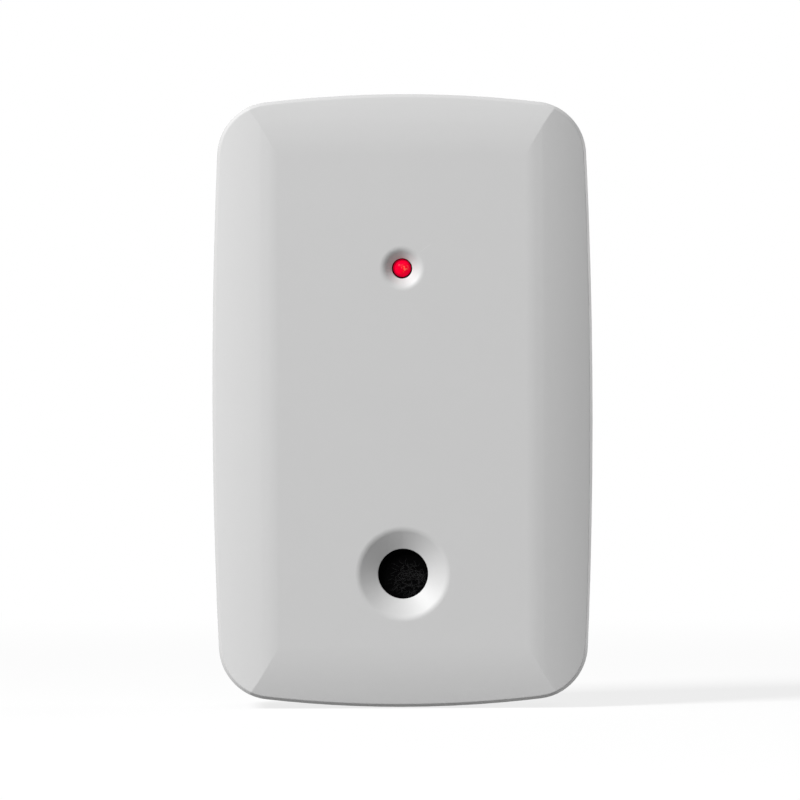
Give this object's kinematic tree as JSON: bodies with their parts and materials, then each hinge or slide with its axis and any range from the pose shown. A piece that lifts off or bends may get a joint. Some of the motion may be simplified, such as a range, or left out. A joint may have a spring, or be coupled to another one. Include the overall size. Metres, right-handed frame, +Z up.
{
  "type": "glass break sensor",
  "caption": "Wall-mounted acoustic glass break sensor: pale moulded case with a red indicator in a small dimple and a felt-covered microphone in a larger one.",
  "frame": {"origin": "centre of the back face, on the wall plane", "axes": "+Z up along the case's length, -Y out of the wall towards the room, +X to the right seen from the front"},
  "size_m": [0.0604, 0.023, 0.097],
  "materials": {
    "case_plastic": "fine satin",
    "board_laminate": "solder mask",
    "red_lens": "clear red",
    "black_felt": "fibrous",
    "black_rubber": "matt",
    "black_plastic": "moulded",
    "green_plastic": "moulded",
    "white_plastic": "moulded",
    "red_plastic": "moulded",
    "relay_plastic": "moulded",
    "tinned_metal": "tinned",
    "steel": "zinc plated",
    "can_aluminium": "drawn",
    "brass_gold": "plated",
    "ceramic": "fired",
    "capacitor_sleeve": "shrunk sleeve"
  },
  "bodies": {
    "base": {"alarm_relay": "relay_plastic", "amplifier_chip": "black_plastic", "amplifier_leads": "tinned_metal", "back_plate": "case_plastic", "board_screws": "steel", "capacitor_leads": "tinned_metal", "chip_capacitors": "ceramic", "chip_resistors": "black_plastic", "circuit_board": "board_laminate", "controller_chip": "black_plastic", "controller_leads": "tinned_metal", "crystal_can": "can_aluminium", "crystal_pins": "tinned_metal", "jumper_caps": "red_plastic", "jumper_header": "black_plastic", "jumper_pins": "brass_gold", "large_capacitor": "capacitor_sleeve", "led_leads": "tinned_metal", "led_lens": "red_lens", "led_spacer": "black_plastic", "microphone_boot": "black_rubber", "microphone_can": "can_aluminium", "microphone_felt": "black_felt", "microphone_pins": "tinned_metal", "regulator_tab": "tinned_metal", "relay_pins": "tinned_metal", "small_capacitors": "capacitor_sleeve", "surge_diodes": "black_plastic", "tamper_spring": "steel", "tamper_switch_body": "black_plastic", "tamper_switch_pins": "tinned_metal", "tamper_switch_plate": "steel", "terminal_block": "green_plastic", "terminal_clamps": "brass_gold", "terminal_pins": "tinned_metal", "terminal_screws": "steel", "transistor_leads": "tinned_metal", "transistors": "black_plastic", "voltage_regulator": "black_plastic"},
    "cover": {"front_cover": "case_plastic"},
    "plunger": {"tamper_plunger": "white_plastic"}
  },
  "joints": [
    {"name": "cover_swing", "type": "hinge", "parent": "base", "child": "cover", "pos_m": [0, -0.0017, 0.0485], "axis": [-1, 0, 0], "range_deg": [0, 35]},
    {"name": "tamper_travel", "type": "slide", "parent": "base", "child": "plunger", "axis": [0, -1, 0], "range_m": [0, 0.0012]}
  ],
  "couplings": [
    {"joint": "tamper_travel", "follows": "cover_swing", "m_per_rad": 0.00196}
  ]
}
